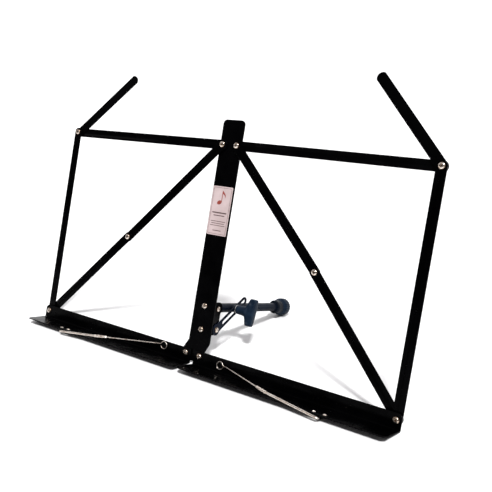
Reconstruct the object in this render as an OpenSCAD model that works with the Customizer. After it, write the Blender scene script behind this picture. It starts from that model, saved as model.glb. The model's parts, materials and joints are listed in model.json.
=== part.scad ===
// Folding music desk: spine, two hinged trays, parallel side frames, page fingers,
// page retainers and a tilting stub shaft. Millimetres. +X to the reader's right,
// +Y away from the reader, +Z up. The origin is on the floor, under the middle.

/* [Desk frame] */
// height between the upper and lower pivots of the spine
pivot_rise = 240; // [200:1:280]
// width of the flat spine
spine_w = 29.2; // [22:0.1:36]
// thickness of the spine sheet
spine_t = 1.6; // [1.2:0.1:3]
// spine sheet above the upper pivots
spine_over = 29; // [16:1:40]
// half the distance between the two pivots of a pair on the spine
pivot_x = 9.6; // [8:0.1:12]
// reach of a side frame from its spine pivot to its outer pivot
side_reach = 231; // [180:1:260]
// width of the flat bars
bar_w = 11; // [8:0.2:14]
// thickness of the flat bars
bar_t = 1.2; // [0.8:0.1:2]
// free gap between two bars that cross
bar_gap = 0.3; // [0.2:0.1:0.6]
// how far the middle of the right brace stands outside the straight line
bow_right = 3.4; // [-1:0.1:4]
// how far the middle of the left brace stands outside the straight line
bow_left = -0.6; // [-1:0.1:4]

/* [Page fingers] */
// length of a finger from its pivot to the centre of its round tip
finger_len = 108.3; // [80:1:140]
// angle of the right finger above the line back to the spine
finger_right_deg = 47.8; // [0:1:120]
// angle of the left finger above the line back to the spine
finger_left_deg = 40.7; // [0:1:120]

/* [Trays] */
// sheet thickness of the trays
tray_t = 1.2; // [0.8:0.1:2]
// upright flange above the lower pivot line
flange_up = 5.7; // [5.4:0.1:10]
// underside of the shelf below the lower pivot line
flange_down = 11.3; // [8:0.1:20]
// depth of the shelf in front of the flange's back face
shelf_depth = 32.7; // [20:0.5:45]
// inner end of a tray from the middle of the spine
tray_inner = 2.2; // [2.2:0.1:8]
// flange beyond the outer lower pivot
tray_over = 5.9; // [5:0.1:12]
// outside radius of the bend under the flange
bend_r = 2; // [1.6:0.1:4]

/* [Page retainers] */
// thick part of the retainer wire, radius
arm_r = 1.1; // [0.8:0.05:1.5]
// thin part of the retainer wire, radius
wire_r = 0.6; // [0.4:0.05:0.9]
// length of the thick part along the shelf
arm_len = 59; // [40:1:80]
// radius of the loop at the wire's end, to the wire's middle
loop_r = 4.2; // [3:0.1:7]

/* [Tilt bracket and stub shaft] */
// distance from the spine's front face back to the tilt pivots
ear_y = 18; // [16:0.5:24]
// height of the upper tilt pivot above the lower spine pivots
tilt_z = 52.6; // [48:0.2:60]
// height of the link pivot above the lower spine pivots
link_z = 28.6; // [24:0.2:34]
// outside radius of the stub shaft
tube_r = 5.5; // [4.5:0.05:6]
// bore radius of the stub shaft
tube_bore_r = 4; // [3:0.05:5]
// length of the stub shaft beyond its pivot
tube_len = 170; // [120:1:200]
// the shaft points this much below the desk's normal at rest
tube_drop_deg = 1.4; // [0:0.1:12]
// clamp bolt from the shaft's pivot
bolt_at = 36.8; // [30:0.2:50]
// link length from its pivot to the centre of its round tip
link_len = 61; // [50:1:75]
// span of the wing knob
knob_span = 33; // [24:0.5:44]
// outside radius of the lock nut
nut_r = 11.9; // [10:0.1:14]
// outside radius of the fixed collar
collar_r = 8.9; // [8:0.1:10]

/* [Hidden] */
$fn = 48;
eps = 0.02;
pin_r = 1.6;
run = 0.06;
pitch = bar_t + bar_gap;
// back faces of the bar layers, counted forward from the spine's front face
layer1 = -bar_gap;
layer2 = layer1 - pitch;
layer3 = layer2 - pitch;
layer4 = layer3 - pitch;
spacer_h = 2;
flange_back = layer4 - bar_t - spacer_h;
flange_front = flange_back - tray_t;
head_r = 3.4;
head_h = 1.5;
head_lip = 0.6;
head_top_r = 2.3;
head_dimple_r = 1.1;
tail_r = 3;
tail_h = 1.1;

// outer pivots, with the side frame a parallelogram
sag = 1.4;
arm_x = sqrt(side_reach * side_reach - sag * sag);
corner_top = [pivot_x + arm_x, pivot_rise - sag];
corner_low = [pivot_x + arm_x, -sag];
pivot_top = [pivot_x, pivot_rise];
diag = [corner_low[0] - pivot_top[0], corner_low[1] - pivot_top[1]];
diag_len = norm(diag);
low_reach = norm([corner_low[0] - pivot_x, corner_low[1]]);
upper_len = (diag_len + pivot_rise - low_reach) / 2;
lower_len = diag_len - upper_len;
diag_u = [diag[0] / diag_len, diag[1] / diag_len];
diag_n = [-diag_u[1], diag_u[0]];
function mid(s) = pivot_top + diag_u * upper_len + diag_n * (s < 0 ? bow_left : bow_right);

// spine
spine_corner_r = 5;
jog_top = 14;
jog_low = 6;
tab_low = -7.5;
tab_back = flange_back + bar_gap + spine_t;
label_w = 27.2;
label_mid = -0.5;
label_low = 137.3;
label_top = 193;
label_t = 0.2;

// bracket
bracket_t = 1.5;
ear_in = tube_r + 0.4;
ear_out = ear_in + bracket_t;
bracket_low = 22;
ear_top_r = 8;
ear_low_r = 6.6;
rivet_z = [28.1, 55.6];
tilt_pin_r = 2;

// stub shaft
tube_root = 7;
socket_at = 44;
end_in = 0.5;
collar_at = 145.6;
collar_len = 11.6;
nut_at = 157.5;
nut_cone = 5;
nut_body = 7.5;
nut_cap = 3;
nut_len = nut_cone + nut_body + nut_cap;
nut_front_r = 9.2;
nut_end_r = 10;
nut_mouth_r = 4.4;
nut_wall_end = 170.3 - nut_at;
groove_count = 24;
groove_r = 0.9;

// link and clamp
link_x = ear_out + bar_gap;
link_t = 1.5;
link_foot_r = 6.8;
link_w = 10.4;
slot_w = 4.4;
slot_from = 15;
bolt_y = bolt_at * cos(tube_drop_deg);
bolt_z = tilt_z - bolt_at * sin(tube_drop_deg);
link_deg = atan2(bolt_z - link_z, bolt_y);
stud_r = 1.9;
washer_r = 5.4;
washer_t = 1;
washer_x = link_x + link_t + bar_gap;
hub_x = washer_x + washer_t;
hub_r = 5.4;
hub_flare_r = 7.6;
hub_len = 16.3;
wing_depth = 9.7;
wing_t = 8.4;
wing_lean_deg = 10;

// retainers: pivot and clip positions along the trays
pivot_right = 176.9;
clip_right = 174.8;
pivot_left = 181;
clip_left = 179;
axle_z = -flange_down - 2.05;
axle_from = -31;
arm_y = -(shelf_depth - flange_back) - 1.5;
arm_rise = 8.2;
loop_y = flange_front - 1.5;
loop_right = [136.9, -2.3];
loop_left = [140.3, 0.6];
crimp_len = 17;
crimp_r = 1.55;
clip_w = 19;
clip_d = 7.6;
clip_t = 0.9;
clip_y = axle_from - clip_d / 2;
knuckle_r = 1.9;
clip_pitch = 11.6;
small_rivet_r = 2;
small_tail_r = 1.3;

// the floor touches the bend under the trays and the rim of the lock nut
heel = [flange_back - bend_r, bend_r - flange_down];
rim_at = nut_at + nut_cone + nut_body;
rim = [
    ear_y + rim_at * cos(tube_drop_deg) - nut_r * sin(tube_drop_deg),
    tilt_z - rim_at * sin(tube_drop_deg) - nut_r * cos(tube_drop_deg)
];
heel_to_rim = [rim[0] - heel[0], rim[1] - heel[1]];
lean = atan2(heel_to_rim[1], heel_to_rim[0]) + asin(bend_r / norm(heel_to_rim));
floor_z = -heel[0] * sin(lean) + heel[1] * cos(lean) - bend_r;
end_at = nut_at + nut_len;
end_y = ear_y + end_at * cos(tube_drop_deg) + nut_end_r * sin(tube_drop_deg);
end_z = tilt_z - end_at * sin(tube_drop_deg) + nut_end_r * cos(tube_drop_deg);
back_y = end_y * cos(lean) + end_z * sin(lean);
front_y = arm_y * cos(lean) + axle_z * sin(lean) - arm_r;
middle_y = (back_y + front_y) / 2;

module stand() {
    translate([0, -middle_y, -floor_z]) rotate([-lean, 0, 0]) children();
}

// a sheet in the desk's plane, from its back face forward
module sheet(back, t) {
    translate([0, back, 0]) rotate([90, 0, 0]) linear_extrude(height = t) children();
}

// a sheet across X, drawn in Y and Z
module cheek(x, t) {
    translate([x, 0, 0]) rotate([90, 0, 90]) linear_extrude(height = t) children();
}

// the ends are a little flatter than a half circle, so they meet the edges at a corner
module bar_shape(p, q, w) {
    d = q - p;
    l = norm(d);
    translate(p) rotate(atan2(d[1], d[0])) intersection() {
        translate([-w, -w / 2]) square([l + 2 * w, w]);
        union() {
            for (x = [end_in, l - end_in]) translate([x, 0]) circle(r = w / 2 + end_in);
            translate([0, -w]) square([l, 2 * w]);
        }
    }
}

module bar(p, q, back, holes) {
    sheet(back, bar_t) difference() {
        bar_shape(p, q, bar_w);
        for (h = holes) translate(h) circle(r = pin_r + run);
    }
}

module pin_y(p, back, front, r) {
    translate([p[0], back, p[1]]) rotate([90, 0, 0]) cylinder(h = back - front, r = r);
}

// a rivet head that faces the reader, standing on a front face
module head_front(p, face, r) {
    difference() {
        union() {
            pin_y(p, face, face - head_lip, r);
            translate([p[0], face - head_lip, p[1]]) rotate([90, 0, 0])
                cylinder(h = head_h - head_lip, r1 = r, r2 = head_top_r * r / head_r);
        }
        pin_y(p, face - head_lip, face - head_h - eps, head_dimple_r);
    }
}

module rod(p, q, r) {
    d = q - p;
    translate(p) rotate([0, acos(d[2] / norm(d)), atan2(d[1], d[0])])
        cylinder(h = norm(d), r = r);
}

// ---- spine ----
module spine() {
    color("#17181b") stand() {
        sheet(spine_t, spine_t) difference() {
            union() {
                translate([-spine_w / 2, jog_top])
                    square([spine_w, pivot_rise + spine_over - spine_corner_r - jog_top]);
                translate([-spine_w / 2 + spine_corner_r, pivot_rise])
                    square([spine_w - 2 * spine_corner_r, spine_over]);
                for (s = [-1, 1])
                    translate([s * (spine_w / 2 - spine_corner_r),
                        pivot_rise + spine_over - spine_corner_r])
                        circle(r = spine_corner_r);
            }
            for (s = [-1, 1]) translate([s * pivot_x, pivot_rise]) circle(r = pin_r);
            for (z = rivet_z) translate([0, z]) circle(r = pin_r);
        }
        cheek(-spine_w / 2, spine_w) polygon([
            [0, jog_top], [spine_t, jog_top], [tab_back, jog_low - spine_t / 2],
            [tab_back, jog_low - spine_t], [tab_back - spine_t, jog_low - spine_t],
            [tab_back - spine_t, jog_low]
        ]);
        sheet(tab_back, spine_t) difference() {
            union() {
                translate([-spine_w / 2, tab_low + spine_corner_r])
                    square([spine_w, jog_low - spine_t - tab_low - spine_corner_r]);
                translate([-spine_w / 2 + spine_corner_r, tab_low])
                    square([spine_w - 2 * spine_corner_r, spine_corner_r]);
                for (s = [-1, 1])
                    translate([s * (spine_w / 2 - spine_corner_r), tab_low + spine_corner_r])
                        circle(r = spine_corner_r);
            }
            for (s = [-1, 1]) translate([s * pivot_x, 0]) circle(r = pin_r);
        }
    }
}

module label() {
    color("#e6dcd6") stand() translate([label_mid - label_w / 2, -label_t, label_low])
        cube([label_w, label_t, label_top - label_low]);
}

// ---- pivots on the spine ----
module spine_rivet(p, back, face) {
    head_front(p, face, head_r);
    pin_y(p, back + tail_h, face - head_lip / 2, pin_r);
    pin_y(p, back + tail_h, back, tail_r);
}

module top_pivot_left() {
    color("#b9a58f") stand()
        spine_rivet([-pivot_x, pivot_rise], spine_t, layer2 - bar_t - run);
}

module top_pivot_right() {
    color("#b9a58f") stand()
        spine_rivet([pivot_x, pivot_rise], spine_t, layer2 - bar_t - run);
}

module bottom_pivot_left() {
    color("#b9a58f") stand() spine_rivet([-pivot_x, 0], tab_back, flange_front - run);
}

module bottom_pivot_right() {
    color("#b9a58f") stand() spine_rivet([pivot_x, 0], tab_back, flange_front - run);
}

module bracket_rivets() {
    color("#b9a58f") stand() for (z = rivet_z) {
        head_front([0, z], 0, head_r);
        pin_y([0, z], spine_t + bracket_t + tail_h, -head_lip / 2, pin_r);
        pin_y([0, z], spine_t + bracket_t + tail_h, spine_t + bracket_t, tail_r);
    }
}

// ---- tilt bracket ----
module ear_shape(holes) {
    difference() {
        union() {
            translate([spine_t, bracket_low])
                square([ear_y - spine_t, tilt_z + ear_top_r - bracket_low]);
            translate([ear_y - 1, link_z]) square([ear_low_r, tilt_z - link_z]);
            translate([ear_y, tilt_z]) circle(r = ear_top_r);
            translate([ear_y, link_z]) circle(r = ear_low_r);
        }
        for (h = holes) translate(h) circle(r = tilt_pin_r);
    }
}

module tilt_bracket() {
    color("#17181b") stand() {
        cheek(ear_in, bracket_t) ear_shape([[ear_y, tilt_z], [ear_y, link_z]]);
        cheek(-ear_out, bracket_t) ear_shape([[ear_y, tilt_z]]);
        sheet(spine_t + bracket_t, bracket_t) difference() {
            translate([-ear_out, bracket_low])
                square([2 * ear_out, tilt_z + ear_top_r - bracket_low]);
            for (z = rivet_z) translate([0, z]) circle(r = pin_r);
        }
    }
}

module pin_x(p, from, to, r) {
    translate([from, p[0], p[1]]) rotate([0, 90, 0]) cylinder(h = to - from, r = r);
}

module tilt_rivet() {
    color("#b9a58f") stand() {
        pin_x([ear_y, tilt_z], -ear_out - tail_h, ear_out + tail_h, tilt_pin_r);
        pin_x([ear_y, tilt_z], -ear_out - tail_h, -ear_out, tail_r);
        pin_x([ear_y, tilt_z], ear_out, ear_out + tail_h, tail_r);
    }
}

module link_rivet() {
    color("#b9a58f") stand() {
        pin_x([ear_y, link_z], ear_in - 0.7, link_x + link_t + head_h, tilt_pin_r);
        pin_x([ear_y, link_z], ear_in - 0.7, ear_in, tail_r);
        pin_x([ear_y, link_z], link_x + link_t + run, link_x + link_t + head_h, tail_r + 0.2);
    }
}

// ---- stub shaft ----
module along_tube() {
    translate([0, ear_y, tilt_z]) rotate([-90 - tube_drop_deg, 0, 0]) children();
}

module shaft_tube() {
    color("#1b1d22") stand() difference() {
        along_tube() difference() {
            translate([0, 0, -tube_root]) cylinder(h = tube_root + tube_len, r = tube_r);
            translate([0, 0, -tube_root - 1])
                cylinder(h = tube_root + tube_len, r = tube_bore_r - 0.5);
            translate([0, 0, socket_at]) cylinder(h = tube_len, r = tube_bore_r);
        }
        pin_x([ear_y, tilt_z], -tube_r * 2, tube_r * 2, tilt_pin_r + run);
        pin_x([ear_y + bolt_y, bolt_z], -tube_r * 2, tube_r * 2, stud_r);
    }
}

module clamp_bolt() {
    color("#3a3d42") stand() {
        pin_x([ear_y + bolt_y, bolt_z], -tube_r - 1, link_x - 0.15, stud_r);
        pin_x([ear_y + bolt_y, bolt_z], -tube_r - 2.4, -tube_r, washer_r - 1.4);
    }
}

module bolt_spacer() {
    color("#22252b") stand() difference() {
        pin_x([ear_y + bolt_y, bolt_z], tube_r, link_x - 0.3, washer_r - 1);
        pin_x([ear_y + bolt_y, bolt_z], tube_r - 1, link_x + 1, stud_r);
    }
}

module lock_collar() {
    color("#2b3138") stand() along_tube() translate([0, 0, collar_at]) difference() {
        union() {
            cylinder(h = 1, r1 = collar_r - 1, r2 = collar_r);
            translate([0, 0, 1]) cylinder(h = collar_len - 1, r = collar_r);
        }
        translate([0, 0, -1]) cylinder(h = collar_len + 2, r = tube_r);
    }
}

module lock_nut() {
    color("#39424c") stand() along_tube() translate([0, 0, nut_at]) difference() {
        union() {
            cylinder(h = nut_cone, r1 = nut_front_r, r2 = nut_r);
            translate([0, 0, nut_cone]) cylinder(h = nut_body, r = nut_r);
            translate([0, 0, nut_cone + nut_body])
                cylinder(h = nut_cap, r1 = nut_r, r2 = nut_end_r);
        }
        translate([0, 0, -1]) cylinder(h = nut_wall_end + 1, r = tube_r + run);
        cylinder(h = nut_len + 1, r = nut_mouth_r);
        for (i = [0.5 : groove_count])
            rotate(90 + i * 360 / groove_count) translate([nut_r + groove_r / 2, 0, -1])
                cylinder(h = nut_len + 2, r = groove_r, $fn = 16);
    }
}

// ---- slotted link ----
module tilt_link() {
    color("#1b1d22") stand() cheek(link_x, link_t) translate([ear_y, link_z])
        rotate(link_deg) difference() {
            union() {
                circle(r = link_foot_r);
                translate([0, -link_w / 2]) square([link_len, link_w]);
                translate([link_len, 0]) circle(d = link_w);
            }
            circle(r = tilt_pin_r + run);
            translate([slot_from, -slot_w / 2]) square([link_len - slot_from, slot_w]);
            translate([slot_from, 0]) circle(d = slot_w);
            translate([link_len, 0]) circle(d = slot_w);
        }
}

// ---- wing knob ----
module knob_washer() {
    color("#8a8d90") stand() difference() {
        pin_x([ear_y + bolt_y, bolt_z], washer_x, washer_x + washer_t, washer_r);
        pin_x([ear_y + bolt_y, bolt_z], washer_x - 1, washer_x + washer_t + 1, stud_r);
    }
}

module knob_stud() {
    color("#8a8d90") stand()
        pin_x([ear_y + bolt_y, bolt_z], link_x + link_t + 0.15, hub_x + hub_len, stud_r);
}

module wing_knob() {
    color("#39424c") stand() difference() {
        union() {
            translate([hub_x, ear_y + bolt_y, bolt_z]) rotate([0, 90, 0]) {
                cylinder(h = hub_len, r1 = hub_r, r2 = hub_flare_r);
                translate([0, 0, hub_len]) cylinder(h = wing_depth - 3, r = hub_flare_r);
            }
            cheek(hub_x + hub_len - 1.5, wing_depth) translate([ear_y + bolt_y, bolt_z])
                rotate(90 - wing_lean_deg)
                    bar_shape([-(knob_span - wing_t) / 2, 0], [(knob_span - wing_t) / 2, 0],
                        wing_t);
        }
        pin_x([ear_y + bolt_y, bolt_z], hub_x - 1, hub_x + hub_len, stud_r);
    }
}

// ---- right and left side frames ----
function side(s, p) = [s * p[0], p[1]];

module top_arm(s) {
    color("#17181b") stand() bar(side(s, pivot_top), side(s, corner_top), layer1,
        [side(s, pivot_top), side(s, corner_top)]);
}

module side_arm(s) {
    color("#17181b") stand() bar(side(s, corner_low), side(s, corner_top), layer4,
        [side(s, corner_low), side(s, corner_top)]);
}

module brace_upper(s) {
    color("#17181b") stand() bar(side(s, pivot_top), side(s, mid(s)), layer2,
        [side(s, pivot_top), side(s, mid(s))]);
}

module brace_lower(s) {
    color("#17181b") stand() bar(side(s, mid(s)), side(s, corner_low), layer3,
        [side(s, mid(s)), side(s, corner_low)]);
}

module brace_head(s) {
    color("#b9a58f") stand() {
        head_front(side(s, mid(s)), layer3 - bar_t, head_r);
        pin_y(side(s, mid(s)), layer3, layer3 - bar_t - head_lip / 2, pin_r);
    }
}

module brace_tail(s) {
    color("#b9a58f") stand() {
        pin_y(side(s, mid(s)), layer2 + tail_h, layer2 - bar_t, pin_r);
        pin_y(side(s, mid(s)), layer2 + tail_h, layer2, tail_r);
    }
}

module corner_rivet(s) {
    color("#b9a58f") stand() {
        head_front(side(s, corner_low), flange_front, head_r);
        pin_y(side(s, corner_low), layer3 - 0.1, flange_front - head_lip / 2, pin_r);
    }
}

module corner_spacer(s) {
    color("#b9a58f") stand() difference() {
        pin_y(side(s, corner_low), flange_back + spacer_h - bar_gap, flange_back, tail_r);
        pin_y(side(s, corner_low), layer4, flange_front, pin_r);
    }
}

module finger_rivet(s) {
    color("#b9a58f") stand() {
        head_front(side(s, corner_top), layer4 - bar_t - run, head_r);
        pin_y(side(s, corner_top), layer1 + tail_h, layer4 - bar_t - head_lip / 2, pin_r);
        pin_y(side(s, corner_top), layer1 + tail_h, layer1, tail_r);
    }
}

module finger_spacer(s, back, front) {
    color("#b9a58f") stand() difference() {
        pin_y(side(s, corner_top), back, front, tail_r);
        pin_y(side(s, corner_top), back + 1, front - 1, pin_r + run);
    }
}

module finger(s, deg, back) {
    tip = [corner_top[0] - finger_len * cos(deg), corner_top[1] + finger_len * sin(deg)];
    color("#17181b") stand()
        bar(side(s, corner_top), side(s, tip), back, [side(s, corner_top)]);
}

// ---- trays ----
module tray(s, clip_x) {
    x_in = tray_inner;
    x_out = corner_low[0] + tray_over;
    lean_in = 6;
    taper = 3;
    chamfer = 3.2;
    top_r = 5;
    y_back = flange_back - bend_r;
    y_front = flange_back - shelf_depth;
    color("#141517") stand() mirror([s < 0 ? 1 : 0, 0, 0]) {
        sheet(flange_back, tray_t) difference() {
            union() {
                translate([x_in, bend_r - flange_down])
                    square([x_out - x_in, flange_up + flange_down - bend_r - top_r]);
                translate([x_in, 0]) square([x_out - x_in - top_r, flange_up]);
                translate([x_out - top_r, flange_up - top_r]) circle(r = top_r);
            }
            translate([pivot_x, 0]) circle(r = pin_r + run);
            translate(corner_low) circle(r = pin_r);
        }
        cheek(x_in, x_out - x_in) intersection() {
            translate(heel) difference() {
                circle(r = bend_r);
                circle(r = bend_r - tray_t);
            }
            translate([heel[0], heel[1] - bend_r]) square(bend_r);
        }
        translate([0, 0, -flange_down]) linear_extrude(height = tray_t) difference() {
            union() {
                polygon([
                    [x_in, y_back], [x_out, y_back], [x_out - taper, y_front + chamfer],
                    [x_out - taper - chamfer, y_front], [x_in + lean_in, y_front],
                    [x_in + lean_in, y_front + lean_in], [x_in, y_front + lean_in]
                ]);
                translate([x_in + lean_in, y_front + lean_in]) circle(r = lean_in);
            }
            for (d = [-clip_pitch / 2, clip_pitch / 2])
                translate([clip_x + d, clip_y]) circle(r = 1);
        }
    }
}

// ---- page retainers ----
module retainer_clip(s, x, clip_x) {
    color("#17181b") stand() mirror([s < 0 ? 1 : 0, 0, 0]) difference() {
        union() {
            translate([clip_x - clip_w / 2, clip_y - clip_d / 2, -flange_down - clip_t])
                cube([clip_w, clip_d, clip_t]);
            translate([x, clip_y + clip_d / 2, axle_z]) rotate([90, 0, 0])
                cylinder(h = clip_d, r = knuckle_r);
        }
        translate([x, clip_y + clip_d, axle_z]) rotate([90, 0, 0])
            cylinder(h = clip_d * 2, r = arm_r + run);
        for (d = [-clip_pitch / 2, clip_pitch / 2])
            translate([clip_x + d, clip_y, -flange_down - 2]) cylinder(h = 4, r = 1);
    }
}

module clip_rivets(s, clip_x) {
    color("#b9a58f") stand() mirror([s < 0 ? 1 : 0, 0, 0])
        for (d = [-clip_pitch / 2, clip_pitch / 2])
            translate([clip_x + d, clip_y, 0]) {
                translate([0, 0, -flange_down - clip_t - 0.4])
                    cylinder(h = clip_t + tray_t + 0.8, r = 1);
                translate([0, 0, tray_t - flange_down]) cylinder(h = 0.6, r1 = small_rivet_r,
                    r2 = small_rivet_r * 0.6);
                translate([0, 0, -flange_down - clip_t - 0.5])
                    cylinder(h = 0.5, r = small_tail_r);
            }
}

function arm_end(x) = [x - arm_len, arm_y, axle_z + arm_rise];
function loop_mid(x, loop) = [x - loop[0], loop_y, loop[1]];
function loop_start(x, loop) = loop_mid(x, loop) + [loop_r, 0, 0];
function crimp_end(x, loop) = let(d = loop_start(x, loop) - arm_end(x))
    arm_end(x) + crimp_len * d / norm(d);

module retainer_arm(s, x) {
    color("#b9a58f") stand() mirror([s < 0 ? 1 : 0, 0, 0]) {
        rod([x, axle_from, axle_z], [x, arm_y, axle_z], arm_r);
        translate([x, arm_y, axle_z]) sphere(r = arm_r);
        rod([x, arm_y, axle_z], arm_end(x), arm_r);
    }
}

module retainer_crimp(s, x, loop) {
    color("#c9b8a4") stand() mirror([s < 0 ? 1 : 0, 0, 0]) difference() {
        union() {
            translate(arm_end(x)) sphere(r = crimp_r);
            rod(arm_end(x), crimp_end(x, loop), crimp_r);
        }
        rod([x, arm_y, axle_z], arm_end(x), arm_r + eps);
    }
}

module retainer_wire(s, x, loop) {
    color("#b9a58f") stand() mirror([s < 0 ? 1 : 0, 0, 0]) {
        rod(crimp_end(x, loop), loop_start(x, loop), wire_r);
        translate(loop_mid(x, loop)) rotate([90, 0, 0]) rotate_extrude()
            translate([loop_r, 0]) circle(r = wire_r, $fn = 16);
    }
}

module tray_left() { tray(-1, clip_left); }
module tray_right() { tray(1, clip_right); }
module corner_rivet_left() { corner_rivet(-1); }
module corner_rivet_right() { corner_rivet(1); }
module corner_spacer_left() { corner_spacer(-1); }
module corner_spacer_right() { corner_spacer(1); }
module top_arm_left() { top_arm(-1); }
module top_arm_right() { top_arm(1); }
module side_arm_left() { side_arm(-1); }
module side_arm_right() { side_arm(1); }
module brace_upper_left() { brace_upper(-1); }
module brace_upper_right() { brace_upper(1); }
module brace_lower_left() { brace_lower(-1); }
module brace_lower_right() { brace_lower(1); }
module brace_head_left() { brace_head(-1); }
module brace_head_right() { brace_head(1); }
module brace_tail_left() { brace_tail(-1); }
module brace_tail_right() { brace_tail(1); }
module finger_rivet_left() { finger_rivet(-1); }
module finger_rivet_right() { finger_rivet(1); }
module finger_spacer_left() { finger_spacer(-1, layer3, layer4); }
module finger_spacer_right() { finger_spacer(1, layer1 - bar_t, layer3 + bar_gap); }
module finger_left() { finger(-1, finger_left_deg, layer2); }
module finger_right() { finger(1, finger_right_deg, layer3); }
module retainer_clip_left() { retainer_clip(-1, pivot_left, clip_left); }
module retainer_clip_right() { retainer_clip(1, pivot_right, clip_right); }
module clip_rivets_left() { clip_rivets(-1, clip_left); }
module clip_rivets_right() { clip_rivets(1, clip_right); }
module retainer_arm_left() { retainer_arm(-1, pivot_left); }
module retainer_arm_right() { retainer_arm(1, pivot_right); }
module retainer_crimp_left() { retainer_crimp(-1, pivot_left, loop_left); }
module retainer_crimp_right() { retainer_crimp(1, pivot_right, loop_right); }
module retainer_wire_left() { retainer_wire(-1, pivot_left, loop_left); }
module retainer_wire_right() { retainer_wire(1, pivot_right, loop_right); }

spine();
label();
top_pivot_left();
top_pivot_right();
bottom_pivot_left();
bottom_pivot_right();
bracket_rivets();
tilt_bracket();
tilt_rivet();
link_rivet();
shaft_tube();
clamp_bolt();
bolt_spacer();
lock_collar();
lock_nut();
tilt_link();
knob_washer();
knob_stud();
wing_knob();
tray_left();
tray_right();
corner_rivet_left();
corner_rivet_right();
corner_spacer_left();
corner_spacer_right();
top_arm_left();
top_arm_right();
side_arm_left();
side_arm_right();
brace_upper_left();
brace_upper_right();
brace_lower_left();
brace_lower_right();
brace_head_left();
brace_head_right();
brace_tail_left();
brace_tail_right();
finger_rivet_left();
finger_rivet_right();
finger_spacer_left();
finger_spacer_right();
finger_left();
finger_right();
retainer_clip_left();
retainer_clip_right();
clip_rivets_left();
clip_rivets_right();
retainer_arm_left();
retainer_arm_right();
retainer_crimp_left();
retainer_crimp_right();
retainer_wire_left();
retainer_wire_right();
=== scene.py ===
"""Looks of the folding music desk: black enamel strips, nickel rivets and wires, moulded grips.

Lengths are millimetres in the desk's own frame: X to the reader's right, Y away from the reader,
Z up along the spine, with the origin between the two lower pivots, on the spine's front face.
"""
import json
import math

import bmesh
import bpy
from mathutils import Matrix, Vector


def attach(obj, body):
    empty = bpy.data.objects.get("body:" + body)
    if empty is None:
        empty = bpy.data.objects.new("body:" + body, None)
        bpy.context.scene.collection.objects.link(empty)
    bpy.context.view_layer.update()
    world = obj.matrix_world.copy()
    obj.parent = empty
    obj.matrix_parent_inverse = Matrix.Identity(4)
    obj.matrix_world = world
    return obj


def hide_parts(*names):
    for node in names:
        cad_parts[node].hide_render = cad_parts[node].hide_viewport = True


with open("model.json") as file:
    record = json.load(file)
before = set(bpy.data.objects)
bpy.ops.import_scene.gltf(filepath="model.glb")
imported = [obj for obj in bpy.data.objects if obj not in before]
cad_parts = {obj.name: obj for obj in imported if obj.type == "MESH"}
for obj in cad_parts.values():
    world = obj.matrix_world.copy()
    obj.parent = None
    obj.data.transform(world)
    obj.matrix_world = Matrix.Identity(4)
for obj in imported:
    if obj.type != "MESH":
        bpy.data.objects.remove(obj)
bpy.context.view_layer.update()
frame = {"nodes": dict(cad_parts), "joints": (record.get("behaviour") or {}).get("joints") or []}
NODES = frame["nodes"]
JOINTS = {j["name"]: j for j in frame["joints"]}
SIDES = {"left": -1, "right": 1}

# ---------------------------------------------------------------- the desk's frame
MM = 0.001
TILT_PIVOT = (0, 18, 52.6)
FRONT = Vector(JOINTS["fold_right"]["axis"])
RIGHT = Vector((1, 0, 0))
UP = FRONT.cross(RIGHT)
ORIGIN = (
    Vector(JOINTS["stub_tilt"]["pos_m"])
    + FRONT * TILT_PIVOT[1] * MM
    - UP * TILT_PIVOT[2] * MM
)
DESK = Matrix.Translation(ORIGIN) @ Matrix(
    [[MM * RIGHT[i], -MM * FRONT[i], MM * UP[i]] for i in range(3)]
).to_4x4()
TO_DESK = DESK.inverted()


def extent(node):
    """Lowest and highest corner of a CAD node in the desk's frame."""
    points = [TO_DESK @ v.co for v in NODES[node].data.vertices]
    low = Vector([min(p[i] for p in points) for i in range(3)])
    high = Vector([max(p[i] for p in points) for i in range(3)])
    return low, high


def spot(joint):
    """Where a joint is, in the desk's frame."""
    return TO_DESK @ Vector(JOINTS[joint]["pos_m"])


def heading(joint):
    """The direction of a joint's axis in the desk's frame."""
    return (TO_DESK.to_3x3() @ Vector(JOINTS[joint]["axis"])).normalized()


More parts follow.
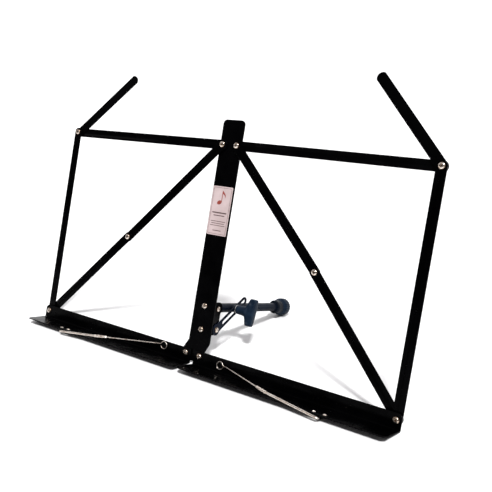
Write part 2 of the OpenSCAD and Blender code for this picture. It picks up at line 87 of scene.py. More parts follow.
# ---------------------------------------------------------------- materials
class Shader:
    """A principled material whose nodes read the object's own coordinates."""

    def __init__(self, name, metallic=0.0, specular=0.5, coat=0.0):
        self.material = bpy.data.materials.new(name)
        self.material.use_nodes = True
        self.tree = self.material.node_tree
        self.bsdf = self.tree.nodes["Principled BSDF"]
        self.place = self.tree.nodes.new("ShaderNodeTexCoord").outputs["Object"]
        self.bsdf.inputs["Metallic"].default_value = metallic
        self.bsdf.inputs["Specular IOR Level"].default_value = specular
        self.bsdf.inputs["Coat Weight"].default_value = coat
        self.bsdf.inputs["Coat Roughness"].default_value = 0.15
        self.normal = None

    def link(self, out, into):
        self.tree.links.new(out, into)

    def noise(self, size_mm, detail=3.0):
        """Noise with features of about size_mm."""
        node = self.tree.nodes.new("ShaderNodeTexNoise")
        node.inputs["Scale"].default_value = 1 / (size_mm * MM)
        node.inputs["Detail"].default_value = detail
        node.inputs["Roughness"].default_value = 0.55
        self.link(self.place, node.inputs["Vector"])
        return node.outputs["Fac"]

    def cells(self, size_mm):
        """Distance to the nearest of points about size_mm apart."""
        node = self.tree.nodes.new("ShaderNodeTexVoronoi")
        node.inputs["Scale"].default_value = 1 / (size_mm * MM)
        self.link(self.place, node.inputs["Vector"])
        return node.outputs["Distance"]

    def spread(self, value, low, high, to_low, to_high):
        """Maps low to to_low and high to to_high, with a soft start and end."""
        node = self.tree.nodes.new("ShaderNodeMapRange")
        node.interpolation_type = "SMOOTHSTEP"
        limits = {"From Min": low, "From Max": high, "To Min": to_low, "To Max": to_high}
        for name, number in limits.items():
            node.inputs[name].default_value = number
        self.link(value, node.inputs["Value"])
        return node.outputs["Result"]

    def blend(self, factor, one, other):
        """Colour one where factor is 0 and other where it is 1. Either may be an output."""
        node = self.tree.nodes.new("ShaderNodeMix")
        node.data_type = "RGBA"
        self.link(factor, node.inputs["Factor"])
        for value, into in ((one, node.inputs["A"]), (other, node.inputs["B"])):
            if isinstance(value, tuple):
                into.default_value = (*value, 1)
            else:
                self.link(value, into)
        return node.outputs["Result"]

    def product(self, one, other):
        """One output times another."""
        node = self.tree.nodes.new("ShaderNodeMath")
        node.operation = "MULTIPLY"
        self.link(one, node.inputs[0])
        self.link(other, node.inputs[1])
        return node.outputs["Value"]

    def edges(self, radius_mm):
        """1 on convex and concave edges, 0 on flat stretches."""
        bevel = self.tree.nodes.new("ShaderNodeBevel")
        bevel.samples = 4
        bevel.inputs["Radius"].default_value = radius_mm * MM
        geometry = self.tree.nodes.new("ShaderNodeNewGeometry")
        dot = self.tree.nodes.new("ShaderNodeVectorMath")
        dot.operation = "DOT_PRODUCT"
        self.link(bevel.outputs["Normal"], dot.inputs[0])
        self.link(geometry.outputs["Normal"], dot.inputs[1])
        return self.spread(dot.outputs["Value"], 0.75, 0.99, 1, 0)

    def color(self, value):
        self.link(value, self.bsdf.inputs["Base Color"])

    def rough(self, value):
        self.link(value, self.bsdf.inputs["Roughness"])

    def bump(self, height, depth_mm, strength):
        """Adds relief of depth_mm on top of any that is there already."""
        node = self.tree.nodes.new("ShaderNodeBump")
        node.inputs["Strength"].default_value = strength
        node.inputs["Distance"].default_value = depth_mm * MM
        self.link(height, node.inputs["Height"])
        if self.normal is not None:
            self.link(self.normal, node.inputs["Normal"])
        self.normal = node.outputs["Normal"]
        self.link(self.normal, self.bsdf.inputs["Normal"])


DUST = (0.018, 0.018, 0.018)


def enamel(name, dark, light, worn, roughness, peel_mm, gloss):
    """Baked enamel on steel: faint orange peel, cloudy gloss, dust specks and thin worn edges."""
    s = Shader(name, specular=gloss)
    cloud = s.blend(s.spread(s.noise(38), 0.35, 0.7, 0, 1), dark, light)
    specks = s.spread(s.cells(5.5), 0.03, 0.06, 1, 0)
    patches = s.spread(s.noise(25), 0.52, 0.66, 0, 1)
    dusty = s.blend(s.product(specks, patches), cloud, DUST)
    rubbed = s.product(s.edges(0.35), s.spread(s.noise(7, 4), 0.47, 0.72, 0, 1))
    s.color(s.blend(rubbed, dusty, worn))
    s.rough(s.spread(s.noise(16, 4), 0.3, 0.75, roughness - 0.07, roughness + 0.09))
    s.bump(s.noise(peel_mm, 2), 0.03, 0.35)
    s.bump(s.noise(30, 1), 0.25, 0.3)
    return s.material


def plated(name, bright, dull, roughness):
    """Plated metal: bright, with duller tarnished clouds and small pits."""
    s = Shader(name, metallic=1.0)
    tarnish = s.spread(s.noise(3.2, 4), 0.38, 0.68, 0, 1)
    s.color(s.blend(tarnish, bright, dull))
    s.rough(s.spread(s.noise(1.6, 4), 0.3, 0.75, roughness - 0.06, roughness + 0.12))
    s.bump(s.noise(0.7, 3), 0.03, 0.3)
    return s.material


def moulded(name, dark, light, roughness, grain_mm):
    """Moulded nylon: fine grain, cloudy gloss, paler rubbed edges."""
    s = Shader(name, specular=0.09)
    cloud = s.blend(s.spread(s.noise(9, 3), 0.35, 0.7, 0, 1), dark, light)
    pale = tuple(min(1, 2.1 * c) for c in light)
    rubbed = s.product(s.edges(0.5), s.spread(s.noise(3, 3), 0.4, 0.7, 0.15, 0.8))
    s.color(s.blend(rubbed, cloud, pale))
    s.rough(s.spread(s.noise(4, 4), 0.3, 0.75, roughness - 0.08, roughness + 0.1))
    s.bump(s.noise(grain_mm, 2), 0.06, 0.5)
    return s.material


def film(name, fresh, aged):
    """Label film: off-white with a pink cast, faintly creased, under a thin gloss."""
    s = Shader(name, specular=0.4, coat=0.25)
    tint = s.spread(s.noise(22, 3), 0.3, 0.72, 0, 1)
    s.color(s.blend(tint, fresh, aged))
    s.rough(s.spread(s.noise(6), 0.3, 0.7, 0.32, 0.5))
    s.bump(s.noise(14, 2), 0.25, 0.25)
    return s.material


def ink(name, color, faded):
    """Printing ink, a little uneven."""
    s = Shader(name, specular=0.3)
    s.color(s.blend(s.spread(s.noise(1.2, 4), 0.42, 0.72, 0, 1), color, faded))
    s.rough(s.spread(s.noise(3), 0.3, 0.7, 0.4, 0.55))
    return s.material


BLACK = enamel(
    "black_enamel",
    dark=(0.0001, 0.0001, 0.0002),
    light=(0.0006, 0.0006, 0.0008),
    worn=(0.011, 0.011, 0.012),
    roughness=0.23,
    peel_mm=1.3,
    gloss=0.04,
)
SHAFT = enamel(
    "shaft_enamel",
    dark=(0.0018, 0.0036, 0.0088),
    light=(0.005, 0.0086, 0.018),
    worn=(0.018, 0.023, 0.034),
    roughness=0.36,
    peel_mm=0.9,
    gloss=0.03,
)
NICKEL = plated("rivet_nickel", (0.79, 0.72, 0.65), (0.5, 0.4, 0.31), 0.2)
# A brown patina colour, used also as painted shade in the rivet heads' punched hollows and at their
# rims.
PATINA_AND_SHADE = plated("rivet_patina_and_painted_shade", (0.26, 0.17, 0.11), (0.1, 0.06, 0.04), 0.34)
WIRE = plated("wire_nickel", (0.74, 0.68, 0.62), (0.52, 0.43, 0.36), 0.27)
STEEL = plated("bolt_steel", (0.46, 0.46, 0.47), (0.26, 0.25, 0.25), 0.36)
GRIP = moulded("grip_nylon", (0.0032, 0.0085, 0.019), (0.0075, 0.0165, 0.032), 0.5, 0.5)
COLLAR = moulded("collar_nylon", (0.003, 0.0045, 0.008), (0.007, 0.01, 0.016), 0.5, 0.5)
FILM = film("label_film", (0.5, 0.4, 0.4), (0.4, 0.315, 0.31))
RED_INK = ink("dull_red_ink", (0.2, 0.03, 0.022), (0.3, 0.085, 0.07))
GREY_INK = ink("rose_grey_ink", (0.07, 0.045, 0.045), (0.16, 0.11, 0.11))


# ---------------------------------------------------------------- mesh tools
def along(start, direction):
    """Matrix that puts local Z along direction with its origin at start."""
    turn = Vector(direction).normalized().to_track_quat("Z", "Y").to_matrix().to_4x4()
    return Matrix.Translation(Vector(start)) @ turn


def add_piece(name, bm, body, material, replaced=(), crease_deg=38):
    """Turns a bmesh in the desk's frame into a piece that rides on a body."""
    bmesh.ops.remove_doubles(bm, verts=bm.verts, dist=1e-4)
    bmesh.ops.recalc_face_normals(bm, faces=bm.faces)
    mesh = bpy.data.meshes.new(name)
    bm.to_mesh(mesh)
    bm.free()
    mesh.transform(DESK)
    mesh.materials.append(material)
    for face in mesh.polygons:
        face.use_smooth = True
    mesh.set_sharp_from_angle(angle=math.radians(crease_deg))
    piece = bpy.data.objects.new(name, mesh)
    bpy.context.scene.collection.objects.link(piece)
    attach(piece, body)
    if replaced:
        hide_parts(*replaced)
    return piece


def skin(bm, rings, closed_ends=True):
    """Joins rings of equally many points with faces."""
    made = [[bm.verts.new(p) for p in ring] for ring in rings]
    count = len(made[0])
    for low, high in zip(made, made[1:]):
        for i in range(count):
            j = (i + 1) % count
            bm.faces.new((low[i], low[j], high[j], high[i]))
    if closed_ends:
        bm.faces.new(reversed(made[0]))
        bm.faces.new(made[-1])


def turned(bm, profile, matrix, segments, swell=None, closed_ends=True):
    """A turned solid. profile is (radius, height) from one end of the axis to the other.

    swell gives the radius at (radius, height, angle) where the solid isn't quite round.
    """
    rings = []
    for radius, height in profile:
        ring = []
        for i in range(segments):
            angle = 2 * math.pi * i / segments
            r = radius if swell is None else swell(radius, height, angle)
            ring.append(matrix @ Vector((r * math.cos(angle), r * math.sin(angle), height)))
        rings.append(ring)
    skin(bm, rings, closed_ends)


def rounded(points, radius, steps):
    """The same path with each inner corner rounded off."""
    path = [Vector(points[0])]
    for before, corner, after in zip(points, points[1:], points[2:]):
        corner, back, on = Vector(corner), Vector(before), Vector(after)
        cut = min(radius, (corner - back).length / 2, (on - corner).length / 2)
        start = corner + (back - corner).normalized() * cut
        end = corner + (on - corner).normalized() * cut
        for k in range(steps + 1):
            t = k / steps
            path.append(start * (1 - t) ** 2 + corner * 2 * t * (1 - t) + end * t ** 2)
    path.append(Vector(points[-1]))
    return path


END_DEPTH = 0.175
END_SHARE = 0.72


def tube(bm, path, radius, sides, shape=None):
    """A round rod along a path. Each end stands out by END_DEPTH radii and narrows to END_SHARE.

    shape gives the radius at a share of the path, counted in its points.
    """
    directions = [(b - a).normalized() for a, b in zip(path, path[1:])]
    directions.append(directions[-1])
    side = directions[0].orthogonal().normalized()
    rings = []
    last = len(path) - 1
    for k, (point, direction) in enumerate(zip(path, directions)):
        if 0 < k < last:
            direction = (directions[k - 1] + direction).normalized()
        side = (side - direction * side.dot(direction)).normalized()
        other = direction.cross(side)
        width = radius if shape is None else shape(k / last)
        stations = [(0, 1)]
        if k == 0:
            stations.insert(0, (-END_DEPTH, END_SHARE))
        elif k == last:
            stations.append((END_DEPTH, END_SHARE))
        for shift, share in stations:
            centre = point + direction * shift * radius
            rings.append([
                centre + (side * math.cos(a) + other * math.sin(a)) * width * share
                for a in (2 * math.pi * i / sides for i in range(sides))
            ])
    skin(bm, rings)


def dress(node, material, edge_mm, segments=2):
    """Gives a CAD node a material, and rounds its sharp edges with modifiers."""
    piece = NODES[node]
    mesh = piece.data
    mesh.materials.clear()
    mesh.materials.append(material)
    for face in mesh.polygons:
        face.material_index = 0
        face.use_smooth = True
    if "custom_normal" in mesh.attributes:
        mesh.attributes.remove(mesh.attributes["custom_normal"])
    weld = piece.modifiers.new("weld", "WELD")
    weld.merge_threshold = 2e-6
    bevel = piece.modifiers.new("edge", "BEVEL")
    bevel.limit_method = "ANGLE"
    bevel.angle_limit = math.radians(40)
    bevel.width = edge_mm * MM
    bevel.segments = segments
    bevel.harden_normals = True


# ---------------------------------------------------------------- CAD nodes that stay
def dress_cad():
    """Strips, sheets, tubes, spacers, washer and bolts are shown as they are in the CAD."""
    dress("spine", BLACK, 0.3)
    dress("tilt_bracket", BLACK, 0.25)
    for side in SIDES:
        for part in ("tray", "top_arm", "side_arm", "brace_upper", "brace_lower", "finger"):
            dress(f"{part}_{side}", BLACK, 0.22)
        dress(f"retainer_clip_{side}", BLACK, 0.12)
        dress(f"corner_spacer_{side}", NICKEL, 0.15)
        dress(f"finger_spacer_{side}", NICKEL, 0.15)
    dress("tilt_link", SHAFT, 0.25)
    dress("shaft_tube", SHAFT, 0.2)
    dress("lock_collar", COLLAR, 0.5, 3)
    dress("bolt_spacer", COLLAR, 0.2)
    for node in ("clamp_bolt", "knob_washer", "knob_stud"):
        dress(node, STEEL, 0.2)


# ---------------------------------------------------------------- rivets
PIN_R = 1.6
HEAD_R = 3.4
HEAD_H = 1.5
TAIL_R = 3.0
TAIL_H = 1.1
AXIS_R = 0.005  # how near a profile comes to its axis
SHADE_HOLE, SHADE_RIM = 0.3, 0.86  # brown patina that is also painted shade lies inside and outside these shares of a head


def domed_head(base, radius, height):
    """Profile of a semi-tubular rivet's head, from its rim in to the punched centre."""
    shape = (
        (1, 0), (1, 0.18), (0.97, 0.36), (0.87, 0.6), (0.72, 0.82), (0.56, 0.95), (0.44, 1),
        (0.36, 0.97), (0.31, 0.84), (0.28, 0.5), (0.24, 0.3), (0.12, 0.24), (0.005, 0.22),
    )
    return [(radius * r, base + height * h) for r, h in shape]


def clinched_tail(base, radius, height):
    """Profile of the rolled-over end of a rivet, from its middle out to its rim."""
    shape = (
        (0.005, 0.1), (0.2, 0.12), (0.34, 0.3), (0.4, 0.75), (0.52, 0.96),
        (0.7, 1), (0.86, 0.86), (0.97, 0.55), (1, 0.2), (0.98, 0),
    )
    return [(radius * r, base - height * h) for r, h in shape]


def rivet_profile(start, end, head=True, tail=True, pin=PIN_R, head_r=HEAD_R, tail_r=TAIL_R,
                  head_h=HEAD_H, tail_h=TAIL_H):
    """start is the tail's end and end is the head's, as heights on the rivet's axis."""
    chamfer, flat_r = 0.12, pin * 0.85
    profile = []
    if tail:
        profile += clinched_tail(start + tail_h, tail_r, tail_h)
        profile.append((pin, start + tail_h))
    else:
        profile += [(AXIS_R, start), (flat_r, start), (pin, start + chamfer)]
    if head:
        profile.append((pin, end - head_h))
        profile += domed_head(end - head_h, head_r, head_h)
    else:
        profile += [(pin, end - chamfer), (flat_r, end), (AXIS_R, end)]
    return profile


def paint_rivet_patina_and_shade(piece, axes, direction, radius):
    """Darkens each rivet head's rim and its punched centre: a brown patina that is also painted
    shade, standing in for the shade in the punched hollow and in the crease at the rim.
    """
    piece.data.materials.append(PATINA_AND_SHADE)
    way = (DESK.to_3x3() @ Vector(direction)).normalized()
    centres = [DESK @ Vector(axis) for axis in axes]
    for face in piece.data.polygons:
        offsets = [face.center - c for c in centres]
        away = min((offset - way * offset.dot(way)).length for offset in offsets)
        if not SHADE_HOLE <= away / (radius * MM) <= SHADE_RIM:
            face.material_index = 1


def face_rivet(node, body, head=True, tail=True):
    """A rivet through the strips, its head towards the reader."""
    low, high = extent(node)
    centre = ((low.x + high.x) / 2, 0, (low.z + high.z) / 2)
    bm = bmesh.new()
    turned(bm, rivet_profile(-high.y, -low.y, head, tail), along(centre, (0, -1, 0)), 40)
    piece = add_piece(f"rivet_{node}", bm, body, NICKEL, (node,))
    paint_rivet_patina_and_shade(piece, [centre], (0, 1, 0), HEAD_R)


def make_rivets():
    """Every rivet of the desk: domed and punched heads, rolled tails."""
    for side in SIDES:
        face_rivet(f"top_pivot_{side}", "spine")
        face_rivet(f"bottom_pivot_{side}", "spine")
        face_rivet(f"corner_rivet_{side}", f"tray_{side}", tail=False)
        face_rivet(f"finger_rivet_{side}", f"top_arm_{side}")
        face_rivet(f"brace_head_{side}", f"brace_lower_{side}", tail=False)
        face_rivet(f"brace_tail_{side}", f"brace_upper_{side}", head=False)
        clip_rivets(side)
    bracket_rivets()
    axle_rivet("tilt_rivet", spot("stub_tilt"), head_r=3.0, head_h=1.1, tail_h=1.1)
    axle_rivet("link_rivet", spot("link_swing"), head_r=3.2, head_h=1.44, tail_h=0.7)


def bracket_rivets():
    """The two rivets that hold the tilt bracket to the spine."""
    low, high = extent("bracket_rivets")
    centres = [(0, 0, z) for z in (low.z + HEAD_R, high.z - HEAD_R)]
    bm = bmesh.new()
    for centre in centres:
        turned(bm, rivet_profile(-high.y, -low.y), along(centre, (0, -1, 0)), 40)
    piece = add_piece("rivets_bracket", bm, "spine", NICKEL, ("bracket_rivets",))
    paint_rivet_patina_and_shade(piece, centres, (0, 1, 0), HEAD_R)


def axle_rivet(node, pivot, head_r, head_h, tail_h):
    """A thick rivet across the tilt bracket, its head to the reader's right."""
    low, high = extent(node)
    profile = rivet_profile(low.x, high.x, pin=2, head_r=head_r, head_h=head_h, tail_h=tail_h)
    centre = (0, pivot.y, pivot.z)
    bm = bmesh.new()
    turned(bm, profile, along(centre, (1, 0, 0)), 40)
    piece = add_piece(f"axle_{node}", bm, "spine", NICKEL, (node,))
    paint_rivet_patina_and_shade(piece, [centre], (1, 0, 0), head_r)


def clip_rivets(side):
    """The two small rivets that hold a retainer's clip under the shelf."""
    node = f"clip_rivets_{side}"
    low, high = extent(node)
    head_r = (high.y - low.y) / 2
    profile = rivet_profile(
        low.z, high.z, pin=1, head_r=head_r, tail_r=1.3, head_h=0.6, tail_h=0.5
    )
    bm = bmesh.new()
    for x in (low.x + head_r, high.x - head_r):
        turned(bm, profile, along((x, (low.y + high.y) / 2, 0), (0, 0, 1)), 28)
    add_piece(f"small_rivets_{side}", bm, f"tray_{side}", NICKEL, (node,))


# ---------------------------------------------------------------- page retainers
ARM_R = 1.1
ARM_BEND = 2.6
CRIMP_R = 1.55
CRIMP_LEN = 17
CRIMP_OVERLAP = 0.6  # how far the sleeve reaches back over the arm
DENTS = (0.22, 0.5, 0.78)  # shares of the sleeve's length
DENT_WIDTH = 0.055
DENT_DEPTH = 0.16
WIRE_R = 0.6
WIRE_HIDDEN = 1.2  # how far the wire reaches into the sleeve
LOOP_R = 4.2
LOOP_FROM, LOOP_SWEEP = 24, 322  # degrees
LOOP_RISE, LOOP_SINK = 0.55, 0.3


def crimped(t):
    """Radius of the sleeve at a share of its length: pinched at the dents, narrower at the ends."""
    pinch = sum(math.exp(-(((t - dent) / DENT_WIDTH) ** 2)) for dent in DENTS)
    past_end = max(0, abs(2 * t - 1) - 0.86) / 0.14
    return CRIMP_R * (1 - DENT_DEPTH * pinch) * (1 - 0.35 * past_end)


def loop_point(centre, side_sign, angle):
    """A point of the wire's loop, which climbs a little over its turn."""
    rise = LOOP_RISE * math.sin(angle / 2) - LOOP_SINK
    return centre + Vector(
        (side_sign * LOOP_R * math.cos(angle), rise, LOOP_R * math.sin(angle))
    )


def make_retainer(side):
    """Bent axle and arm, a crimped sleeve, and a thin wire that ends in a loop."""
    s = SIDES[side]

    def add_rod(name, node, path, radius, sides, shape=None):
        bm = bmesh.new()
        tube(bm, path, radius, sides, shape)
        add_piece(name, bm, f"retainer_{side}", WIRE, (node,))

    low, high = extent(f"retainer_arm_{side}")
    pivot = spot(f"retainer_swing_{side}")
    corner = Vector((pivot.x, low.y + ARM_R, pivot.z))
    arm_end = Vector((low.x if s > 0 else high.x, corner.y, high.z - ARM_R))
    bend = rounded([Vector((pivot.x, high.y, pivot.z)), corner, arm_end], ARM_BEND, 8)
    add_rod(f"retainer_bend_{side}", f"retainer_arm_{side}", bend, ARM_R, 16)

    low, high = extent(f"retainer_wire_{side}")
    loop_x = low.x + LOOP_R + WIRE_R if s > 0 else high.x - LOOP_R - WIRE_R
    loop = Vector((loop_x, high.y - WIRE_R, high.z - LOOP_R - WIRE_R))
    entry = loop + Vector((s * LOOP_R, 0, 0))
    line = (entry - arm_end).normalized()
    steps = 24
    sleeve = [arm_end + line * (CRIMP_LEN * k / steps - CRIMP_OVERLAP) for k in range(steps + 1)]
    add_rod(f"retainer_sleeve_{side}", f"retainer_crimp_{side}", sleeve, CRIMP_R, 18, crimped)

    turns = 30
    ring = [
        loop_point(loop, s, math.radians(LOOP_FROM + LOOP_SWEEP * k / turns))
        for k in range(turns + 1)
    ]
    start = arm_end + line * (CRIMP_LEN - WIRE_HIDDEN)
    kink = entry + Vector((s * 5.5, -0.25, 0.1))
    into_loop = ring[0] + Vector((s * 0.6, 0, -0.9))
    wire = rounded([start, kink, into_loop], 3, 5) + ring
    add_rod(f"retainer_loop_{side}", f"retainer_wire_{side}", wire, WIRE_R, 12)


# ---------------------------------------------------------------- label
def plate(bm, corners, front, back):
    """A flat shape in X and Z, between two depths."""
    skin(bm, [[Vector((x, y, z)) for x, z in corners] for y in (back, front)])


def round_box(cx, cz, w, h, r, steps=5):
    """Outline of a rectangle with rounded corners."""
    points = []
    for sx, sz, turn in ((1, 1, 0), (-1, 1, 90), (-1, -1, 180), (1, -1, 270)):
        corner_x, corner_z = cx + sx * (w / 2 - r), cz + sz * (h / 2 - r)
        for k in range(steps + 1):
            a = math.radians(turn + 90 * k / steps)
            points.append((corner_x + r * math.cos(a), corner_z + r * math.sin(a)))
    return points


def note_head(cx, cz):
    """Outline of the note's head, a tilted ellipse."""
    long, short, tilt, count = 3.3, 2.3, math.radians(24), 24
    points = []
    for k in range(count):
        a = 2 * math.pi * k / count
        u, v = long * math.cos(a), short * math.sin(a)
        points.append((
            cx + u * math.cos(tilt) - v * math.sin(tilt),
            cz + u * math.sin(tilt) + v * math.cos(tilt),
        ))
    return points


LABEL_CORNER = 1.4
INK_PROUD, INK_SUNK = 0.03, 0.02  # how far the print stands out of the film, and reaches in
OVERPRINT = 0.005  # keeps shapes that overlap apart in depth
NOTE_AT = (-2.2, 9.5)  # the note's head, from the label's centre
STEM_FROM_HEAD = 2.75
PRINT_BARS = (  # how far below the centre, share of the label's width, thickness
    (2.2, 0.72, 1.5), (5.4, 0.56, 1.1),
    (12.0, 0.74, 0.7), (14.4, 0.66, 0.7), (16.8, 0.74, 0.7),
    (22.5, 0.42, 1.0),
)
FRAME_MARGIN, FRAME_RULE = 1.6, 0.4


def make_label():
    """A plain label: a note symbol over bars that stand for lines of print, in a thin frame."""
    low, high = extent("label")
    cx, cz = (low.x + high.x) / 2, (low.z + high.z) / 2
    width, height = high.x - low.x, high.z - low.z
    bm = bmesh.new()
    plate(bm, round_box(cx, cz, width, height, LABEL_CORNER), low.y, high.y)
    add_piece("label_sheet", bm, "spine", FILM, ("label",))

    front, back = low.y - INK_PROUD, low.y + INK_SUNK
    bm = bmesh.new()
    note_x, note_z = cx + NOTE_AT[0], cz + NOTE_AT[1]
    stem_x = note_x + STEM_FROM_HEAD
    flag = [
        (stem_x, note_z + 13.6), (stem_x, note_z + 10.4), (stem_x + 3.2, note_z + 8.4),
        (stem_x + 4.3, note_z + 5.2), (stem_x + 4.6, note_z + 8.2), (stem_x + 3.4, note_z + 10.6),
    ]
    plate(bm, note_head(note_x, note_z), front, back)
    plate(bm, round_box(stem_x, note_z + 7.2, 0.9, 13, 0.3), front - OVERPRINT, back)
    plate(bm, flag, front - 2 * OVERPRINT, back)
    add_piece("label_note", bm, "spine", RED_INK)

    bm = bmesh.new()
    for drop, share, thick in PRINT_BARS:
        plate(bm, round_box(cx, cz - drop, width * share, thick, thick * 0.35, 3), front, back)
    across = width - 2 * FRAME_MARGIN
    upright = height - 2 * FRAME_MARGIN - FRAME_RULE
    for x, z, w, h in (
        (cx, low.z + FRAME_MARGIN, across, FRAME_RULE),
        (cx, high.z - FRAME_MARGIN, across, FRAME_RULE),
        (low.x + FRAME_MARGIN, cz, FRAME_RULE, upright),
        (high.x - FRAME_MARGIN, cz, FRAME_RULE, upright),
    ):
        plate(bm, round_box(x, z, w, h, FRAME_RULE * 0.3, 2), front, back)
    add_piece("label_bars", bm, "spine", GREY_INK)


# ---------------------------------------------------------------- grips
def smooth(t):
    """0 below 0, 1 above 1, and a soft S between."""
    t = max(0.0, min(1.0, t))
    return t * t * (3 - 2 * t)


GRIP_CREASE_DEG = 50
KNOB_SPAN = 33 / 2
KNOB_THICK = 8.4 / 2
KNOB_LEAN = math.radians(10)
KNOB_LENGTH_WAY = Vector((0, math.sin(KNOB_LEAN), math.cos(KNOB_LEAN)))
KNOB_ACROSS_WAY = Vector((0, math.cos(KNOB_LEAN), -math.sin(KNOB_LEAN)))
STUD_R, STUD_DEPTH = 1.95, 3.0
HUB = ((0, 4.7), (0.35, 5.2), (1, 5.4), (4, 5.5), (8, 5.8), (11, 6.3))  # height, radius
HUB_FLAT = 0.98  # the hub is a little narrower across the wings' faces
WING_ROOT = 14.8  # height at which the wings have left the hub
SHOULDER = WING_ROOT + 1.2  # height at which they reach their full span
ROUNDING = 1.4  # of the wings' outer end
ROOT_SPAN, ROOT_THICK = 0.985, 1.12  # of the wings at the shoulder, as shares
ROUNDED_END = ((0.25, 0.75), (0.8, 1.15), (1.8, 1.38), (3.4, 1.4))  # inset, rise


def knob_ring(base, long, short, power):
    """A superellipse around the knob's axis; power 2 is an ellipse and more is squarer."""
    count = 72
    points = []
    for i in range(count):
        a = 2 * math.pi * i / count
        c, s = math.cos(a), math.sin(a)
        u = long * math.copysign(abs(c) ** (2 / power), c)
        v = short * math.copysign(abs(s) ** (2 / power), s)
        points.append(base + KNOB_LENGTH_WAY * u + KNOB_ACROSS_WAY * v)
    return points


def knob_rings(start, depth):
    """Rings from the stud's hole, over the hub's flare, to the end of the wings."""
    rings = []

    def add(height, long, short, power):
        rings.append(knob_ring(start + RIGHT * height, long, short, power))

    add(STUD_DEPTH, STUD_R, STUD_R, 2)
    add(0, STUD_R, STUD_R, 2)
    for height, radius in HUB:
        add(height, radius, radius * HUB_FLAT, 2)
    neck, neck_r = HUB[-1]
    neck_short = 6.1
    root_long, root_short = KNOB_SPAN * ROOT_SPAN, KNOB_THICK * ROOT_THICK
    steps = 14
    for k in range(1, steps + 1):
        t = k / steps
        long = neck_r + (root_long - neck_r) * smooth(t) ** 1.4
        short = neck_short + (root_short - neck_short) * smooth(t)
        add(neck + (SHOULDER - neck) * t ** 0.75, long, short, 2 + 1.6 * t)
    steps = 12
    for k in range(1, steps + 1):
        t = k / steps
        long = KNOB_SPAN * (ROOT_SPAN + (1 - ROOT_SPAN) * math.sin(math.pi * t))
        add(SHOULDER + (depth - ROUNDING - SHOULDER) * t, long, root_short * (1 - 0.06 * t), 3.6)
    for inset, rise in ROUNDED_END:
        short = max(0.4, KNOB_THICK * 1.05 - inset)
        add(depth - ROUNDING + rise, KNOB_SPAN - inset, short, 3.2)
    return rings


def press_hollows(bm, axis, middle_x):
    """Sinks a shallow oval hollow into both faces of each wing."""
    half_long, half_high, sink = 3.6, 3.3, 1.25
    for vert in bm.verts:
        offset = vert.co - axis
        u, v = offset.dot(KNOB_LENGTH_WAY), offset.dot(KNOB_ACROSS_WAY)
        along_wing = (abs(u) - KNOB_SPAN * 0.66) / half_long
        up_wing = (vert.co.x - middle_x) / half_high
        inside = 1 - along_wing ** 2 - up_wing ** 2
        if abs(v) > KNOB_THICK * 0.7 and inside > 0:
            vert.co -= KNOB_ACROSS_WAY * math.copysign(sink * smooth(1.6 * inside), v)


def make_knob():
    """Wing knob: a flared hub that opens into two blunt wings with moulded hollows."""
    low, high = extent("wing_knob")
    axis = spot("knob_turn")
    depth = high.x - low.x
    hollow_height = WING_ROOT + (depth - WING_ROOT) * 0.52
    bm = bmesh.new()
    skin(bm, knob_rings(Vector((low.x, axis.y, axis.z)), depth))
    press_hollows(bm, axis, low.x + hollow_height)
    add_piece("wing_grip", bm, "wing_knob", GRIP, ("wing_knob",), GRIP_CREASE_DEG)


NUT_FACE = -7.5  # heights are from the nut's joint along the shaft
NUT_CONE, NUT_RIM, NUT_CAP = 5.0, 7.5, 3.0
NUT_END = NUT_FACE + NUT_CONE + NUT_RIM + NUT_CAP
NUT_FRONT_R, NUT_RIM_R, NUT_END_R = 9.2, 11.77, 10.0
NUT_SHAFT_R, NUT_MOUTH_R, NUT_MOUTH_DEPTH = 5.56, 4.4, 2.9
NUT_LIP = 0.8
FLUTES = 24
FLUTE_DEPTH = 0.75


def nut_profile():
    """From the mouth, out through the bore and over the rim, back to the mouth."""
    profile = [
        (NUT_MOUTH_R, NUT_END - NUT_MOUTH_DEPTH),
        (NUT_SHAFT_R, NUT_END - NUT_MOUTH_DEPTH + 0.2),
        (NUT_SHAFT_R, NUT_FACE + 0.6),
        (NUT_SHAFT_R + 0.5, NUT_FACE),
        (NUT_FRONT_R - 0.6, NUT_FACE),
        (NUT_FRONT_R - 0.1, NUT_FACE + 0.25),
        (NUT_FRONT_R + 0.05, NUT_FACE + NUT_LIP),
    ]
    steps = 8
    for k in range(1, steps + 1):
        t = k / steps
        radius = NUT_FRONT_R + (NUT_RIM_R - NUT_FRONT_R) * smooth(t)
        profile.append((radius, NUT_FACE + NUT_LIP + (NUT_CONE - NUT_LIP) * t))
    for share in (0.12, 0.3, 0.5, 0.7, 0.88, 1):
        profile.append((NUT_RIM_R, NUT_FACE + NUT_CONE + NUT_RIM * share))
    steps = 6
    for k in range(1, steps + 1):
        a = math.pi / 2 * k / steps
        radius = NUT_END_R + (NUT_RIM_R - NUT_END_R) * math.cos(a)
        profile.append((radius, NUT_END - NUT_CAP + NUT_CAP * 0.9 * math.sin(a)))
    profile += [
        (NUT_END_R - 0.8, NUT_END - 0.05),
        (NUT_END_R - 2, NUT_END),
        (NUT_MOUTH_R + 0.7, NUT_END),
        (NUT_MOUTH_R, NUT_END - 0.6),
        (NUT_MOUTH_R, NUT_END - NUT_MOUTH_DEPTH),
    ]
    return profile


def fluted(radius, height, angle):
    """Radius of the nut with its flutes, which start on the cone and fade over the cap."""
    if radius < NUT_FRONT_R:
        return radius
    wave = max(0.0, -math.cos(FLUTES * angle)) ** 2.5
    start = smooth((height - NUT_FACE - NUT_CONE * 0.45) / 3)
    fade = 1 - 0.75 * smooth((height - NUT_END + NUT_CAP) / NUT_CAP)
    return radius - FLUTE_DEPTH * wave * start * fade


def make_nut():
    """Lock nut: a flared cone, a fluted rim and a rounded end, open for the shaft."""
    matrix = along(spot("lock_nut_turn"), heading("lock_nut_turn"))
    bm = bmesh.new()
    turned(bm, nut_profile(), matrix, FLUTES * 10, fluted, closed_ends=False)
    add_piece("lock_grip", bm, "lock_nut", GRIP, ("lock_nut",), GRIP_CREASE_DEG)


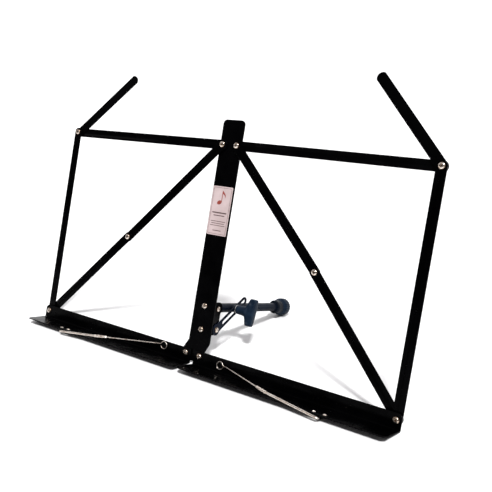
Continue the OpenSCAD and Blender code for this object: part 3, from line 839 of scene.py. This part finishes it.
# ---------------------------------------------------------------- stage, light and camera
def make_stage():
    """A plain pale floor, very faintly clouded."""
    mesh = bpy.data.meshes.new("floor")
    half = 9.0
    corners = [(-half, -half, 0), (half, -half, 0), (half, half, 0), (-half, half, 0)]
    mesh.from_pydata(corners, [], [(0, 1, 2, 3)])
    shader = Shader("pale_floor", specular=0.25)
    cloud = shader.spread(shader.noise(900, 2), 0.3, 0.7, 0, 1)
    shader.color(shader.blend(cloud, (0.84, 0.84, 0.84), (0.87, 0.87, 0.87)))
    shader.bsdf.inputs["Roughness"].default_value = 0.7
    mesh.materials.append(shader.material)
    floor = bpy.data.objects.new("floor", mesh)
    bpy.context.scene.collection.objects.link(floor)


BACKDROP_WAY = (-0.45, 0.89, 0.0)
BACKDROP_COSINE = 0.6  # of the angle from BACKDROP_WAY at which the backdrop starts to fade
ROOM_COSINE = 0.15  # and at which the dim room starts


def make_world(back_light, front_light):
    """A bright backdrop behind the desk that fades to a dim room in front of it.

    Seen straight by the camera, it is white all round.
    """
    world = bpy.data.worlds.new("studio")
    world.use_nodes = True
    tree = world.node_tree
    background = tree.nodes["Background"]
    place = tree.nodes.new("ShaderNodeTexCoord")
    facing = tree.nodes.new("ShaderNodeVectorMath")
    facing.operation = "DOT_PRODUCT"
    facing.inputs[1].default_value = BACKDROP_WAY
    tree.links.new(place.outputs["Generated"], facing.inputs[0])
    fade = tree.nodes.new("ShaderNodeMapRange")
    fade.interpolation_type = "SMOOTHSTEP"
    fade.inputs["From Min"].default_value = ROOM_COSINE
    fade.inputs["From Max"].default_value = BACKDROP_COSINE
    fade.inputs["To Min"].default_value = front_light
    fade.inputs["To Max"].default_value = back_light
    tree.links.new(facing.outputs["Value"], fade.inputs["Value"])
    seen = tree.nodes.new("ShaderNodeMath")
    seen.operation = "MAXIMUM"
    tree.links.new(fade.outputs["Result"], seen.inputs[0])
    tree.links.new(tree.nodes.new("ShaderNodeLightPath").outputs["Is Camera Ray"], seen.inputs[1])
    tree.links.new(seen.outputs["Value"], background.inputs["Strength"])
    background.inputs["Color"].default_value = (1, 1, 1, 1)
    bpy.context.scene.world = world


def add_sun(name, azimuth, elevation, strength, spread_deg, color=(1, 1, 1)):
    """A far, soft light. Azimuth is counted from +Y towards +X, in degrees."""
    a, e = math.radians(azimuth), math.radians(elevation)
    way = Vector((math.sin(a) * math.cos(e), math.cos(a) * math.cos(e), math.sin(e)))
    lamp = bpy.data.lights.new(name, "SUN")
    lamp.energy = strength
    lamp.color = color
    lamp.angle = math.radians(spread_deg)
    light = bpy.data.objects.new(name, lamp)
    light.location = way * 2
    light.rotation_mode = "QUATERNION"
    light.rotation_quaternion = way.to_track_quat("Z", "Y")
    bpy.context.scene.collection.objects.link(light)


CAMERA_AT = (0.40875, -0.61416, 0.30504)  # metres, in the shared frame
CAMERA_TURN = (76.01, -1.901, 33.343)  # degrees
CAMERA_LENS = 46.31


def make_camera():
    data = bpy.data.cameras.new("camera")
    data.sensor_width = 36
    data.lens = CAMERA_LENS
    data.clip_start, data.clip_end = 0.01, 60
    camera = bpy.data.objects.new("camera", data)
    camera.location = CAMERA_AT
    camera.rotation_euler = [math.radians(angle) for angle in CAMERA_TURN]
    bpy.context.scene.collection.objects.link(camera)
    bpy.context.scene.camera = camera


make_camera()
make_stage()
make_world(back_light=1.3, front_light=0.05)
add_sun("key", azimuth=143, elevation=53, strength=4.3, spread_deg=9)
add_sun("top", azimuth=-40, elevation=82, strength=0.85, spread_deg=150, color=(1, 0.96, 1))
bpy.context.scene.view_settings.view_transform = "Standard"

dress_cad()
make_rivets()
for side_name in SIDES:
    make_retainer(side_name)
make_label()
make_knob()
make_nut()
